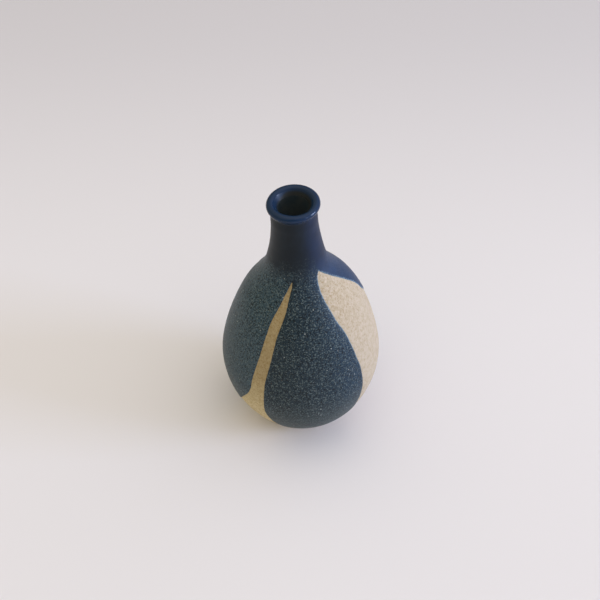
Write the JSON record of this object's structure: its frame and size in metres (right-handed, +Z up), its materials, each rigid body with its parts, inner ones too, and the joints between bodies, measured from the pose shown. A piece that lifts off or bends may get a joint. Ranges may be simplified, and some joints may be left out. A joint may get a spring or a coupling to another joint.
{
  "type": "bud vase",
  "caption": "Thrown stoneware bud vase with a pear-shaped belly, a narrow leaning neck, a rolled lip and overlapping glaze dips that leave windows of bare clay.",
  "frame": {"origin": "centre of the foot, on the surface the vase stands on", "axes": "+Z up, -Y towards the front glaze lobe, the neck leans towards -X"},
  "size_m": [0.0809, 0.0812, 0.1407],
  "materials": {
    "bare_clay": "unglazed stoneware, matte",
    "liner_glaze": "satin liner glaze",
    "cobalt_glaze": "satin, smooth",
    "speckled_slate_glaze": "satin matte, finely speckled",
    "speckled_grey_glaze": "satin matte, finely speckled",
    "back_glaze": "satin matte, lightly speckled"
  },
  "bodies": {
    "root": {"stoneware_body": "bare_clay", "liner_glaze": "liner_glaze", "neck_glaze": "cobalt_glaze", "front_glaze_lobe": "speckled_slate_glaze", "left_glaze_lobe": "speckled_grey_glaze", "back_glaze_lobe": "back_glaze"}
  },
  "joints": []
}
